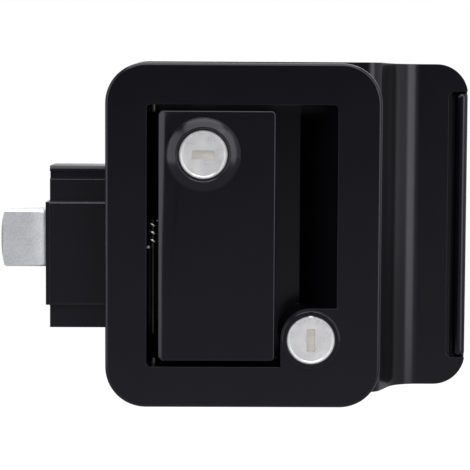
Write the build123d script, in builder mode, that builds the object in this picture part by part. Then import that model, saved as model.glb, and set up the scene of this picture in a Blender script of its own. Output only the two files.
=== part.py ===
from build123d import *
import os
from math import cos, radians, sin, tan

# Door lock for a caravan entry door, in millimetres.
# X runs along the door, away from the jamb that the bolts enter. Y runs through the door into the
# vehicle, and Z is up. The origin is the centre of the door cut-out, on the street-side skin.

# Door and its standard cut-out
door_thickness = 38.0
cutout_width = 69.85

# Street-side plate
plate_width = 95.25
plate_height = 119.0
plate_corner = 14.0
plate_thickness = 5.0
plate_edge_round = 1.2

# Recess for the paddle and the fingers, the same on both sides of the door
recess_left = -33.4
recess_right = 32.5
recess_top = 45.2
recess_bottom = -45.4
recess_corner = 1.6
recess_depth = 24.0
recess_wall = 1.2
recess_floor = 1.5
ramp_foot = 20.6

# Web across the lower right corner of each recess, which carries the deadbolt drive
web_reach_left = 10.4
web_reach_up = 10.9
drive_x = 23.5
drive_above_recess_bottom = 9.5
drive_boss_radius = 10.2
drive_boss_foot_radius = 10.6
drive_boss_rise = 0.8
drive_boss_round = 0.7

# Pull paddle
paddle_left = -29.4
paddle_right = 11.1
paddle_gap = 2.0
paddle_thickness = 3.5
paddle_corner = 1.6
paddle_edge_round = 0.7
paddle_bevel = 2.3
paddle_bevel_depth = 2.1
paddle_rib = 2.0
paddle_rib_depth = 4.0
paddle_swing = 32.0

# Paddle hinge
hinge_x = -31.3
hinge_setback = 8.5
pin_radius = 0.95
pin_reach_into_wall = 0.7
barrel_radius = 1.8
barrel_end_gap = 0.5
lower_barrel_length = 8.2
barrel_web_width = 7.0
outer_barrel_low = 5.3
inner_barrel_low = -6.2
pin_clearance = 0.05

# Arm on each paddle that draws the latch back
arm_length = 27.5
arm_thickness = 3.0
arm_height = 6.0
arm_above_barrel_low = 4.2
arm_lead = 0.45
slot_clearance = 0.5

# Return spring on each hinge pin
spring_wire_radius = 0.45
spring_coil_radius = 1.53
spring_pitch = 2.75
spring_turns = 3.25
spring_gap = 0.1
wall_leg_length = 4.0
hook_leg_length = 10.0
hook_thickness = 2.0
hook_height = 4.0

# Key cylinders
lock_x = -13.9
lock_below_recess_top = 17.2
key_head_radius = 8.4
key_head_thickness = 2.0
key_barrel_radius = 6.0
sleeve_length = 13.8
lock_fit = 0.06
lock_hub_radius = 10.4
lock_ring_radius = 12.6
lock_ring_rise = 2.0
lock_ring_round = 1.7
paddle_lock_recess = 0.7
deadbolt_lock_proud = 0.7
keyway_width = 2.9
keyway_length = 7.8
keyway_depth = 14.0
shutter_setback = 0.5
shutter_thickness = 0.8
clip_thickness = 0.8
clip_groove_radius = 4.6
clip_radius = 7.4
shoulder_radius = 5.4
shoulder_length = 1.4
tail_side = 6.0
cam_thickness = 1.6
cam_width = 7.0
cam_reach = 14.0
cam_screw_radius = 3.4
cam_screw_head = 1.5
keeper_width = 8.0
keeper_drop = 4.7
keeper_thickness = 3.0
keeper_gap = 0.7

# Latch case: nose in the door edge and flat box between the two recesses
nose_end = -68.0
nose_end_proud = 1.3
nose_top = 23.6
nose_bottom = -33.6
nose_step_top = 11.0
nose_step_bottom = -25.7
nose_front = 8.5
nose_upper_front = 11.5
nose_lower_front = 10.5
nose_groove_top = 21.6
nose_groove_bottom = 18.9
nose_groove_depth = 1.8
nose_groove_round = 0.5
nose_top_round = 1.6
nose_step_round = 1.0
nose_back = 34.2
case_wall = 1.3
case_lobe_left = 9.0
case_lobe_below_drive = 10.5
cover_thickness = 1.2
cover_gap = 0.5
case_boss_radius = 2.0

# Latch bolt and its carriage
bolt_tip = -85.1
bolt_tip_thickness = 3.2
bolt_top = 8.0
bolt_bottom = -12.0
bolt_front = 10.0
bolt_back = 30.0
bolt_bevel_end = -69.6
bolt_shoulder = -60.0
bolt_rear = -51.0
bolt_tip_round = 2.0
bolt_edge_round = 0.9
slide_clearance = 0.2
carriage_front = 26.0
carriage_back = 32.8
carriage_right = -8.0
carriage_wide_left = -49.0
carriage_top = 17.6
carriage_bottom = -11.0
carriage_end_bar = 6.7
rivet_radius = 1.6
rivet_end_gap = 0.5
latch_rivet_pitch = 10.0
latch_rivet_start = 4.0
latch_spring_radius = 2.9
latch_spring_wire = 0.4
latch_spring_turns = 9
latch_spring_z = -6.6
latch_spring_length = 33.8
latch_rod_radius = 2.0
latch_rod_length = 12.0
abutment_thickness = 2.0

# Deadbolt
deadbolt_tip = -68.8
deadbolt_top = -14.0
deadbolt_bottom = -25.0
deadbolt_front = 12.0
deadbolt_back = 28.0
deadbolt_shoulder = -52.0
deadbolt_rear = -45.0
deadbolt_slide_front = 24.5
deadbolt_slide_back = 29.5
deadbolt_rivet_pitch = 4.8
deadbolt_rivet_start = 2.0
deadbolt_rivet_radius = 1.2
deadbolt_rivet_head = 0.6
crank_radius = 9.5
crank_turn = 90.0
crank_pin_radius = 1.25
crank_plate = 2.8
crank_hub_radius = 5.0
crank_hub_length = 5.6
slot_side_clearance = 0.42
slot_wall = 1.4
tailpiece_width = 5.0
tailpiece_thickness = 1.6
socket_side = 5.0
drive_fit = 0.1

# Room-side plate and its pull wing
inner_plate_right = 46.0
inner_plate_height = 122.0
inner_plate_corner = 13.5
inner_plate_wall = 2.2
inner_edge_round = 2.4
wing_right = 86.0
wing_corner = 12.0
wing_gap = 20.5
wing_inner_curve = 6.5
wing_outer_curve = 12.5
wing_slope = 66.0
groove_from_edge = 7.4
groove_depth = 2.9
groove_floor_width = 1.5
groove_slope_width = 1.6
groove_step_depth = 2.1
groove_half_length = 50.8
groove_end_round = 2.6
bead_radius = 2.4
bead_setback = 0.1
bead_trim = 0.3

# Thumb turn
thumb_base_radius = 9.5
thumb_base_thickness = 2.5
thumb_grip_width = 6.0
thumb_grip_length = 22.0
thumb_grip_height = 11.0
thumb_gap = 0.3
thumb_bore_radius = 2.5
thumb_bore_depth = 6.0
spindle_radius = 4.0
spindle_bush_radius = 7.5

# Fasteners
post_columns = (-26.0, 3.0)
post_below_recess_top = 7.2
post_above_recess_bottom = 5.4
post_radius = 4.0
post_gap = 0.5
mount_screw_radius = 2.0
mount_screw_head_radius = 3.8
mount_screw_head = 2.4
mount_screw_length = 15.0
case_screw_positions = ((16.0, 14.0), (16.0, -27.0), (-12.0, -28.6))
case_screw_radius = 1.2
case_screw_head_radius = 2.6
case_screw_head = 1.6
case_screw_length = 5.0
cover_screw_positions = ((30.0, 18.0), (-30.5, 20.4), (-30.5, -29.6), (6.0, -29.6))
cover_screw_radius = 1.0
cover_screw_head_radius = 1.9
cover_screw_head = 0.9
cover_screw_length = 7.0
screw_fit = 0.05

# Depths worked out from the sizes above
street_face = -plate_thickness
floor_face = street_face + recess_depth
floor_back = floor_face + recess_floor
room_face = door_thickness + recess_floor + recess_depth
inner_floor_face = door_thickness + recess_floor
middle_depth = (street_face + room_face) / 2
hinge_depth = street_face + hinge_setback
inner_hinge_depth = room_face - hinge_setback
paddle_back = street_face + paddle_thickness
cover_front = floor_back + cover_gap
case_front = cover_front + cover_thickness
case_back = door_thickness
cavity_back = case_back - case_wall
groove_left = wing_right - groove_from_edge
recess_width = recess_right - recess_left
recess_height = recess_top - recess_bottom
recess_middle_x = (recess_left + recess_right) / 2
recess_middle_z = (recess_top + recess_bottom) / 2
paddle_top = recess_top - paddle_gap
paddle_bottom = recess_bottom + paddle_gap
lock_z = recess_top - lock_below_recess_top
drive_z = recess_bottom + drive_above_recess_bottom
case_lobe_bottom = drive_z - case_lobe_below_drive
upper_posts = tuple((column, recess_top - post_below_recess_top) for column in post_columns)
lower_posts = tuple((column, recess_bottom + post_above_recess_bottom) for column in post_columns)
post_positions = upper_posts + lower_posts
outer_arm_low = outer_barrel_low + arm_above_barrel_low
inner_arm_low = inner_barrel_low + arm_above_barrel_low
latch_travel = arm_length * sin(radians(paddle_swing))
crank_pin_x = drive_x + crank_radius * sin(radians(crank_turn / 2))
crank_pin_z = drive_z + crank_radius * cos(radians(crank_turn / 2))
crank_pin_peak = drive_z + crank_radius
nose_right = recess_left - recess_wall - 0.4
case_right = cutout_width / 2 - 0.2
lock_bore_radius = key_head_radius + 0.1
spring_height = spring_pitch * spring_turns
outer_spring_z = outer_barrel_low - spring_gap - spring_wire_radius - spring_height
inner_spring_z = inner_barrel_low - spring_gap - spring_wire_radius - spring_height


def at_depth(depth):
    """Plane facing the street at a depth in the door, with its own x along X and y along Z."""
    return Plane(origin=(0, depth, 0), x_dir=(1, 0, 0), z_dir=(0, -1, 0))


def room_mirror():
    """Plane half way between the two plates' faces, about which the room side repeats the street side."""
    return Plane(origin=(0, middle_depth, 0), x_dir=(1, 0, 0), z_dir=(0, -1, 0))


def turned(centre_x, centre_z, outline):
    """Solid of revolution about an axis through the door; the outline is (radius, depth) pairs."""
    with BuildPart() as form:
        with BuildSketch(Plane(origin=(centre_x, 0, centre_z))):
            with BuildLine():
                Polyline(*outline, close=True)
            make_face()
        revolve(axis=Axis((centre_x, 0, centre_z), (0, 1, 0)))
    return form.part


def rod(centre_x, centre_z, radius, near, far):
    """Plain round bar through the door between two depths."""
    with BuildPart() as form:
        with BuildSketch(at_depth(near)):
            with Locations((centre_x, centre_z)):
                Circle(radius)
        extrude(amount=near - far)
    return form.part


def block(left, right, near, far, low, high):
    """Rectangular block between two places along each axis."""
    with BuildPart() as form:
        with BuildSketch(Plane.XY.offset(low)):
            with Locations(((left + right) / 2, (near + far) / 2)):
                Rectangle(right - left, far - near)
        extrude(amount=high - low)
    return form.part


def recess_form(margin, near, far):
    """Street-side recess as a solid, grown by a margin; its right wall is a ramp up to the plate."""
    ramp_top = Vector(recess_right, street_face)
    ramp_bottom = Vector(ramp_foot, floor_face)
    along = (ramp_bottom - ramp_top).normalized()
    outward = Vector(along.Y, -along.X)
    start = ramp_top + outward * margin - along * recess_depth
    finish = ramp_bottom + outward * margin + along * recess_depth
    with BuildPart() as form:
        with BuildSketch(at_depth(near)):
            with Locations((recess_middle_x, recess_middle_z)):
                RectangleRounded(
                    recess_width + 2 * margin,
                    recess_height + 2 * margin,
                    recess_corner + margin,
                )
        extrude(amount=near - far)
        with BuildSketch(Plane.XY.offset(-plate_height / 2)):
            with BuildLine():
                Polyline(
                    start,
                    finish,
                    finish + outward * recess_width,
                    start + outward * recess_width,
                    close=True,
                )
            make_face()
        extrude(amount=plate_height, mode=Mode.SUBTRACT)
    return form.part


def behind_wing(margin):
    """Space on the door side of the room plate's bend and wing, kept off their surface by a margin."""
    lean = radians(wing_slope)
    along = Vector(cos(lean), sin(lean))
    across = Vector(sin(lean), -cos(lean))
    low_radius = wing_inner_curve - margin
    high_radius = wing_outer_curve + margin
    rise = (wing_gap - (wing_inner_curve + wing_outer_curve) * (1 - cos(lean))) / sin(lean)
    bend_start = Vector(inner_plate_right, door_thickness + margin)
    rise_start = Vector(inner_plate_right, door_thickness + wing_inner_curve) + across * low_radius
    rise_end = rise_start + along * rise
    bend_end = rise_end + across * high_radius + Vector(0, high_radius)
    with BuildPart() as form:
        with BuildSketch(Plane.XY.offset(-inner_plate_height)):
            with BuildLine():
                TangentArc(bend_start, rise_start, tangent=(1, 0))
                Line(rise_start, rise_end)
                TangentArc(rise_end, bend_end, tangent=along)
                Polyline(
                    bend_end,
                    (wing_right + 5, bend_end.Y),
                    (wing_right + 5, door_thickness - 2),
                    (inner_plate_right, door_thickness - 2),
                    bend_start,
                )
            make_face()
        extrude(amount=2 * inner_plate_height)
    return form.part


def web_form():
    """Corner of the street plate that spans the recess round the deadbolt drive."""
    reach = 2.0
    web_left = drive_x - web_reach_left
    web_top = drive_z + web_reach_up
    with BuildPart() as form:
        with BuildSketch(at_depth(street_face)) as outline:
            with Locations((web_left, web_top)):
                Rectangle(
                    recess_right + reach - web_left,
                    web_top - recess_bottom + reach,
                    align=(Align.MIN, Align.MAX),
                )
            free_corner = outline.vertices().sort_by_distance((web_left, web_top, 0))[0]
            fillet(free_corner, web_reach_left)
        extrude(amount=-plate_thickness)
    return form.part


def paddle_form(barrel_low):
    """Street-side pull paddle without its lock: plate, ribs, hinge barrels, spring hook and latch arm."""
    arm_low = barrel_low + arm_above_barrel_low
    width = paddle_right - paddle_left
    middle_x = (paddle_left + paddle_right) / 2
    hook_x = hinge_x + hook_leg_length
    hook_depth = hinge_depth + spring_coil_radius + spring_wire_radius + spring_gap / 2
    leg_z = barrel_low - spring_gap - spring_wire_radius
    height = paddle_top - paddle_bottom
    rib_back = paddle_back + paddle_rib_depth
    with BuildPart() as form:
        with BuildSketch(at_depth(street_face)):
            with Locations((middle_x, recess_middle_z)):
                RectangleRounded(width, height, paddle_corner)
        extrude(amount=-paddle_thickness)
        fillet(form.faces().sort_by(Axis.Y)[0].edges(), paddle_edge_round)
        with BuildSketch(Plane.XY.offset(paddle_bottom)):
            with BuildLine():
                Polyline(
                    (paddle_left - 1, street_face + paddle_bevel_depth),
                    (paddle_left, street_face + paddle_bevel_depth),
                    (paddle_left + paddle_bevel, street_face),
                    (paddle_left + paddle_bevel, street_face - 1),
                    (paddle_left - 1, street_face - 1),
                    close=True,
                )
            make_face()
        extrude(amount=height, mode=Mode.SUBTRACT)
        for low in (paddle_bottom + 0.2, paddle_top - 0.2 - paddle_rib):
            add(
                block(
                    paddle_left + 5,
                    paddle_right - 0.8,
                    paddle_back - 0.5,
                    rib_back,
                    low,
                    low + paddle_rib,
                ),
            )
        add(
            block(
                paddle_right - paddle_rib - 0.4,
                paddle_right - 0.4,
                paddle_back - 0.5,
                paddle_back + 1.4,
                paddle_bottom + paddle_rib,
                paddle_top - paddle_rib,
            )
        )
        barrel_bottom = paddle_bottom + barrel_end_gap
        barrel_top = paddle_top - barrel_end_gap
        for low, high in ((barrel_bottom, barrel_bottom + lower_barrel_length), (barrel_low, barrel_top)):
            with BuildSketch(Plane.XY.offset(low)):
                with Locations((hinge_x, hinge_depth)):
                    Circle(barrel_radius)
                with BuildLine():
                    Polyline(
                        (paddle_left + 0.5, paddle_back - 0.3),
                        (paddle_left + barrel_web_width, paddle_back - 0.3),
                        (paddle_left + barrel_web_width, paddle_back + 1.8),
                        (hinge_x + 0.9, hinge_depth + 1.5),
                        (hinge_x - 1.2, hinge_depth - 1.2),
                        close=True,
                    )
                make_face()
            extrude(amount=high - low)
        with BuildSketch(Plane.XY.offset(arm_low)):
            with Locations((hinge_x, hinge_depth + arm_length / 2)):
                Rectangle(arm_thickness, arm_length)
            with Locations((hinge_x, hinge_depth + arm_length)):
                Circle(arm_thickness / 2)
        extrude(amount=arm_height)
        add(block(hook_x, hook_x + hook_thickness, paddle_back - 0.5, hook_depth + hook_thickness,
                  leg_z - hook_height / 2, leg_z + hook_height / 2))
        add(block(hook_x - hook_thickness, hook_x + 0.5, hook_depth, hook_depth + hook_thickness,
                  leg_z - hook_height / 2, leg_z + hook_height / 2))
        with BuildSketch(Plane.XY.offset(-plate_height / 2)):
            with Locations((hinge_x, hinge_depth)):
                Circle(pin_radius + pin_clearance)
        extrude(amount=plate_height, mode=Mode.SUBTRACT)
    return form.part


def hinge_pin_form():
    """Street-side hinge pin, held at both ends in the recess walls."""
    pin_length = recess_height + 2 * pin_reach_into_wall
    with BuildPart() as form:
        with BuildSketch(Plane.XY.offset(recess_bottom - pin_reach_into_wall)):
            with Locations((hinge_x, hinge_depth)):
                Circle(pin_radius)
        extrude(amount=pin_length)
    return form.part


def return_spring_form(base_z):
    """Street-side torsion spring: one leg lies on the recess wall, the other under the paddle's hook."""
    top_z = base_z + spring_height
    seat = Plane(origin=(hinge_x, hinge_depth, base_z), x_dir=(-1, 0, 0), z_dir=(0, 0, 1))
    turns = seat.location * Helix(spring_pitch, spring_height, spring_coil_radius, lefthand=True)
    with BuildPart() as form:
        with BuildLine() as coil:
            add(turns)
        with BuildSketch(Plane(origin=coil.line @ 0, z_dir=coil.line % 0)):
            Circle(spring_wire_radius)
        sweep(is_frenet=True)
        with BuildSketch(
            Plane(origin=(hinge_x - spring_coil_radius, hinge_depth, base_z), z_dir=(0, -1, 0)),
        ):
            Circle(spring_wire_radius)
        extrude(amount=wall_leg_length)
        with BuildSketch(
            Plane(origin=(hinge_x, hinge_depth + spring_coil_radius, top_z), z_dir=(1, 0, 0)),
        ):
            Circle(spring_wire_radius)
        extrude(amount=hook_leg_length)
        with Locations(
            (hinge_x - spring_coil_radius, hinge_depth, base_z),
            (hinge_x, hinge_depth + spring_coil_radius, top_z),
        ):
            Sphere(spring_wire_radius)
    return form.part


def key_slot(centre_x, centre_z, face, upright, depth):
    """Keyhole as a solid, as deep as the key goes in."""
    half_x = (keyway_width if upright else keyway_length) / 2
    half_z = (keyway_length if upright else keyway_width) / 2
    return block(
        centre_x - half_x,
        centre_x + half_x,
        face - 1,
        face + depth,
        centre_z - half_z,
        centre_z + half_z,
    )


def plug_form(centre_x, centre_z, face, upright):
    """Key plug: dished head, barrel, clip groove and shoulder."""
    head_back = face + key_head_thickness
    groove = head_back + lock_fit + sleeve_length + lock_fit
    shoulder = groove + clip_thickness
    return turned(
        centre_x,
        centre_z,
        (
            (0, face + 0.3),
            (key_head_radius - 1.1, face + 0.3),
            (key_head_radius - 0.8, face),
            (key_head_radius - 0.3, face),
            (key_head_radius, face + 0.3),
            (key_head_radius, head_back),
            (key_barrel_radius, head_back),
            (key_barrel_radius, groove),
            (clip_groove_radius, groove),
            (clip_groove_radius, shoulder),
            (shoulder_radius, shoulder),
            (shoulder_radius, shoulder + shoulder_length),
            (0, shoulder + shoulder_length),
        ),
    ) - key_slot(centre_x, centre_z, face, upright, keyway_depth)


def sleeve_form(centre_x, centre_z, face):
    """Fixed shell in which a key plug turns."""
    near = face + key_head_thickness + lock_fit
    return turned(
        centre_x,
        centre_z,
        (
            (key_barrel_radius + lock_fit, near),
            (key_head_radius, near),
            (key_head_radius, near + sleeve_length),
            (key_barrel_radius + lock_fit, near + sleeve_length),
        ),
    )


def clip_form(centre_x, centre_z, face):
    """Spring clip in the plug's groove, open on one side."""
    near = face + key_head_thickness + 2 * lock_fit + sleeve_length + 0.05
    far = near + clip_thickness - 0.1
    disc = rod(centre_x, centre_z, clip_radius, near, far)
    ring = disc - rod(centre_x, centre_z, clip_groove_radius + 0.05, near, far)
    return ring - block(centre_x - 2.6, centre_x + 2.6, near, far, centre_z - clip_radius, centre_z)


# Street-side plate: flange on the door skin, recess, lock boss, screw posts and the paddle lock's keeper
with BuildPart() as outer_bezel:
    with BuildSketch(at_depth(street_face)):
        RectangleRounded(plate_width, plate_height, plate_corner)
    extrude(amount=-plate_thickness)
    fillet(outer_bezel.faces().sort_by(Axis.Y)[0].edges(), plate_edge_round)
    add(recess_form(recess_wall, 0, floor_back))
    add(recess_form(0, street_face, floor_face), mode=Mode.SUBTRACT)
    add(web_form())
    add(
        turned(
            drive_x,
            drive_z,
            (
                (0, street_face - drive_boss_rise),
                (drive_boss_radius, street_face - drive_boss_rise),
                (drive_boss_foot_radius, 0),
                (drive_boss_foot_radius, floor_back),
                (0, floor_back),
            ),
        )
    )
    fillet(outer_bezel.faces().sort_by(Axis.Y)[0].edges(), drive_boss_round)
    add(rod(drive_x, drive_z, lock_bore_radius, street_face - 1, floor_face), mode=Mode.SUBTRACT)
    add(
        rod(drive_x, drive_z, tailpiece_width / 2 + 0.8, floor_face - 1, floor_back + 1),
        mode=Mode.SUBTRACT,
    )
    add(
        block(drive_x - 0.8, drive_x + 0.8, street_face - 1, street_face + 1.2,
              drive_z + lock_bore_radius - 0.5, drive_z + lock_bore_radius + 1.3),
        mode=Mode.SUBTRACT,
    )
    for post_x, post_z in post_positions:
        add(rod(post_x, post_z, post_radius, floor_back - 0.5, door_thickness - post_gap))
        add(
            rod(post_x, post_z, mount_screw_radius + screw_fit, floor_back + 1.5, door_thickness),
            mode=Mode.SUBTRACT,
        )
    keeper_back = street_face + key_head_thickness + 2 * lock_fit + sleeve_length + clip_thickness
    keeper_back += paddle_lock_recess + shoulder_length - keeper_gap - lock_ring_rise
    add(
        block(
            lock_x - keeper_width / 2,
            lock_x + keeper_width / 2,
            keeper_back - keeper_thickness,
            keeper_back,
            recess_top - keeper_drop,
            recess_top + 0.5,
        )
    )
    add(
        block(hinge_x - arm_thickness / 2 - slot_clearance,
              hinge_x + (floor_back - hinge_depth) * tan(radians(paddle_swing)) + arm_thickness,
              floor_face - 1, floor_back + 1,
              outer_arm_low - slot_clearance, outer_arm_low + arm_height + slot_clearance),
        mode=Mode.SUBTRACT,
    )
    with BuildSketch(Plane.XY.offset(-plate_height / 2)):
        with Locations((hinge_x, hinge_depth)):
            Circle(pin_radius + pin_clearance)
    extrude(amount=plate_height, mode=Mode.SUBTRACT)
outer_bezel.part.label = "outer_bezel"

# Street-side paddle with the ringed hub of its key cylinder
lock_face = street_face - lock_ring_rise + paddle_lock_recess
hub_back = lock_face + key_head_thickness + lock_fit + sleeve_length
with BuildPart() as outer_paddle:
    add(paddle_form(outer_barrel_low))
    add(
        turned(
            lock_x,
            lock_z,
            (
                (0, street_face - lock_ring_rise),
                (lock_ring_radius, street_face - lock_ring_rise),
                (lock_ring_radius, street_face + 0.5),
                (lock_hub_radius, street_face + 0.5),
                (lock_hub_radius, hub_back),
                (0, hub_back),
            ),
        )
    )
    fillet(outer_paddle.faces().sort_by(Axis.Y)[0].edges(), lock_ring_round)
    add(
        turned(
            lock_x,
            lock_z,
            (
                (0, street_face - lock_ring_rise - 1),
                (key_head_radius + 1.0, street_face - lock_ring_rise - 1),
                (key_head_radius + 1.0, street_face - lock_ring_rise),
                (lock_bore_radius, street_face - lock_ring_rise + 1.2),
                (lock_bore_radius, hub_back + 1),
                (0, hub_back + 1),
            ),
        ),
        mode=Mode.SUBTRACT,
    )
outer_paddle.part.label = "outer_paddle"

# Street-side hinge pin and return spring
with BuildPart() as outer_hinge_pin:
    add(hinge_pin_form())
outer_hinge_pin.part.label = "outer_hinge_pin"

with BuildPart() as outer_paddle_spring:
    add(return_spring_form(outer_spring_z))
outer_paddle_spring.part.label = "outer_paddle_spring"

# Key cylinder in the paddle: sleeve, plug, shutter, clip, cam and cam screw
with BuildPart() as paddle_lock_sleeve:
    add(sleeve_form(lock_x, lock_z, lock_face))
paddle_lock_sleeve.part.label = "paddle_lock_sleeve"

plug_length = key_head_thickness + 2 * lock_fit + sleeve_length + clip_thickness + shoulder_length
plug_back = lock_face + plug_length
with BuildPart() as paddle_lock_plug:
    add(plug_form(lock_x, lock_z, lock_face, False))
    add(
        block(
            lock_x - tail_side / 2,
            lock_x + tail_side / 2,
            plug_back - 0.5,
            plug_back + cam_thickness - 0.05,
            lock_z - tail_side / 2,
            lock_z + tail_side / 2,
        )
    )
    add(rod(lock_x, lock_z, 1.5, plug_back - 3, plug_back + cam_thickness), mode=Mode.SUBTRACT)
paddle_lock_plug.part.label = "paddle_lock_plug"

with BuildPart() as paddle_key_shutter:
    add(
        block(
            lock_x - keyway_length / 2 + 0.05,
            lock_x + keyway_length / 2 - 0.05,
            lock_face + shutter_setback,
            lock_face + shutter_setback + shutter_thickness,
            lock_z - keyway_width / 2 + 0.05,
            lock_z + keyway_width / 2 - 0.05,
        )
    )
paddle_key_shutter.part.label = "paddle_key_shutter"

with BuildPart() as paddle_lock_clip:
    add(clip_form(lock_x, lock_z, lock_face))
paddle_lock_clip.part.label = "paddle_lock_clip"

with BuildPart() as paddle_lock_cam:
    with BuildSketch(at_depth(plug_back)):
        with Locations((lock_x, lock_z)):
            Circle(shoulder_radius)
        with Locations((lock_x + cam_reach / 2, lock_z)):
            Rectangle(cam_reach, cam_width)
        with Locations((lock_x, lock_z)):
            Rectangle(tail_side + 0.1, tail_side + 0.1, mode=Mode.SUBTRACT)
    extrude(amount=-cam_thickness)
    fillet(paddle_lock_cam.edges().filter_by(Axis.Y).sort_by(Axis.X)[-2:], 1.5)
paddle_lock_cam.part.label = "paddle_lock_cam"

with BuildPart() as paddle_cam_screw:
    add(
        turned(
            lock_x,
            lock_z,
            (
                (0, plug_back - 2.8),
                (1.45, plug_back - 2.8),
                (1.45, plug_back + cam_thickness),
                (cam_screw_radius + 0.6, plug_back + cam_thickness),
                (cam_screw_radius + 0.2, plug_back + cam_thickness + cam_screw_head),
                (0, plug_back + cam_thickness + cam_screw_head),
            ),
        )
    )
    add(
        block(lock_x - 2.4, lock_x + 2.4, plug_back + cam_thickness + 0.8, plug_back + cam_thickness + 2,
              lock_z - 0.4, lock_z + 0.4),
        mode=Mode.SUBTRACT,
    )
paddle_cam_screw.part.label = "paddle_cam_screw"

# Key cylinder of the deadbolt: sleeve, plug, shutter, clip and the flat tailpiece that turns the crank
deadbolt_face = street_face - deadbolt_lock_proud
crank_near = deadbolt_slide_back + 0.4
crank_far = crank_near + crank_hub_length
tailpiece_near = deadbolt_face + key_head_thickness + sleeve_length + 1.0
with BuildPart() as deadbolt_lock_sleeve:
    add(sleeve_form(drive_x, drive_z, deadbolt_face))
deadbolt_lock_sleeve.part.label = "deadbolt_lock_sleeve"

with BuildPart() as deadbolt_lock_plug:
    add(plug_form(drive_x, drive_z, deadbolt_face, True))
    add(
        block(
            drive_x - tailpiece_thickness / 2 - drive_fit / 2,
            drive_x + tailpiece_thickness / 2 + drive_fit / 2,
            tailpiece_near - 0.1,
            floor_face,
            drive_z - tailpiece_width / 2 - drive_fit / 2,
            drive_z + tailpiece_width / 2 + drive_fit / 2,
        ),
        mode=Mode.SUBTRACT,
    )
deadbolt_lock_plug.part.label = "deadbolt_lock_plug"

with BuildPart() as deadbolt_key_shutter:
    add(
        block(
            drive_x - keyway_width / 2 + 0.05,
            drive_x + keyway_width / 2 - 0.05,
            deadbolt_face + shutter_setback,
            deadbolt_face + shutter_setback + shutter_thickness,
            drive_z - keyway_length / 2 + 0.05,
            drive_z + keyway_length / 2 - 0.05,
        )
    )
deadbolt_key_shutter.part.label = "deadbolt_key_shutter"

with BuildPart() as deadbolt_lock_clip:
    add(clip_form(drive_x, drive_z, deadbolt_face))
deadbolt_lock_clip.part.label = "deadbolt_lock_clip"

with BuildPart() as deadbolt_tailpiece:
    add(
        block(
            drive_x - tailpiece_thickness / 2,
            drive_x + tailpiece_thickness / 2,
            tailpiece_near,
            crank_near + crank_plate - 0.2,
            drive_z - tailpiece_width / 2,
            drive_z + tailpiece_width / 2,
        )
    )
deadbolt_tailpiece.part.label = "deadbolt_tailpiece"

# Crank that the key or the thumb turn swings; its pin works the slot in the deadbolt's slide
with BuildPart() as deadbolt_crank:
    with BuildSketch(at_depth(crank_near)):
        with Locations((drive_x, drive_z)):
            Circle(crank_hub_radius)
        with Locations((crank_pin_x, crank_pin_z)):
            Circle(crank_pin_radius + 1.2)
        with Locations(((drive_x + crank_pin_x) / 2, (drive_z + crank_pin_z) / 2)):
            Rectangle(crank_radius, 2 * crank_pin_radius + 2.4, rotation=90 - crank_turn / 2)
    extrude(amount=-crank_plate)
    add(rod(drive_x, drive_z, crank_hub_radius, crank_near, crank_far))
    add(rod(crank_pin_x, crank_pin_z, crank_pin_radius, deadbolt_slide_front + 0.2, crank_near + 1))
    add(
        block(
            drive_x - tailpiece_thickness / 2 - drive_fit / 2,
            drive_x + tailpiece_thickness / 2 + drive_fit / 2,
            crank_near - 1,
            crank_near + crank_plate,
            drive_z - tailpiece_width / 2 - drive_fit / 2,
            drive_z + tailpiece_width / 2 + drive_fit / 2,
        ),
        mode=Mode.SUBTRACT,
    )
    add(
        block(drive_x - socket_side / 2 - drive_fit / 2, drive_x + socket_side / 2 + drive_fit / 2,
              crank_near + crank_plate + 0.4, crank_far + 1, drive_z - socket_side / 2 - drive_fit / 2,
              drive_z + socket_side / 2 + drive_fit / 2),
        mode=Mode.SUBTRACT,
    )
deadbolt_crank.part.label = "deadbolt_crank"

# Deadbolt: a rectangular head riveted to the slotted slide
with BuildPart() as deadbolt:
    with BuildSketch(Plane.XY.offset(deadbolt_bottom)):
        with BuildLine():
            Polyline(
                (deadbolt_tip, deadbolt_front),
                (deadbolt_rear, deadbolt_front),
                (deadbolt_rear, deadbolt_slide_front),
                (deadbolt_shoulder, deadbolt_slide_front),
                (deadbolt_shoulder, deadbolt_back),
                (deadbolt_tip, deadbolt_back),
                close=True,
            )
        make_face()
    extrude(amount=deadbolt_top - deadbolt_bottom)
    chamfer(deadbolt.faces().sort_by(Axis.X)[0].edges(), 0.8)
    for offset in (-deadbolt_rivet_pitch / 2, deadbolt_rivet_pitch / 2):
        add(
            rod((deadbolt_rear + deadbolt_shoulder) / 2, (deadbolt_top + deadbolt_bottom) / 2 + offset,
                deadbolt_rivet_radius, deadbolt_front + deadbolt_rivet_start, deadbolt_back + 2),
            mode=Mode.SUBTRACT,
        )
deadbolt.part.label = "deadbolt"

slot_half_width = crank_pin_radius + slot_side_clearance
with BuildPart() as deadbolt_slide:
    add(
        block(
            deadbolt_shoulder + 0.1,
            crank_pin_x - slot_half_width,
            deadbolt_slide_front,
            deadbolt_slide_back,
            deadbolt_bottom + 1,
            deadbolt_top - 1,
        )
    )
    add(
        block(crank_pin_x - slot_half_width - slot_wall, crank_pin_x + slot_half_width + slot_wall,
              deadbolt_slide_front, deadbolt_slide_back,
              crank_pin_z - crank_pin_radius - 2.2, deadbolt_top - 1)
    )
    add(
        block(
            crank_pin_x - slot_half_width,
            crank_pin_x + slot_half_width,
            deadbolt_slide_front - 1,
            deadbolt_slide_back + 1,
            crank_pin_z - crank_pin_radius - 0.6,
            crank_pin_peak + crank_pin_radius + 0.6,
        ),
        mode=Mode.SUBTRACT,
    )
    for offset in (-deadbolt_rivet_pitch / 2, deadbolt_rivet_pitch / 2):
        add(
            rod((deadbolt_rear + deadbolt_shoulder) / 2, (deadbolt_top + deadbolt_bottom) / 2 + offset,
                deadbolt_rivet_radius, deadbolt_slide_front - 1, deadbolt_slide_back + 1),
            mode=Mode.SUBTRACT,
        )
deadbolt_slide.part.label = "deadbolt_slide"

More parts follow.
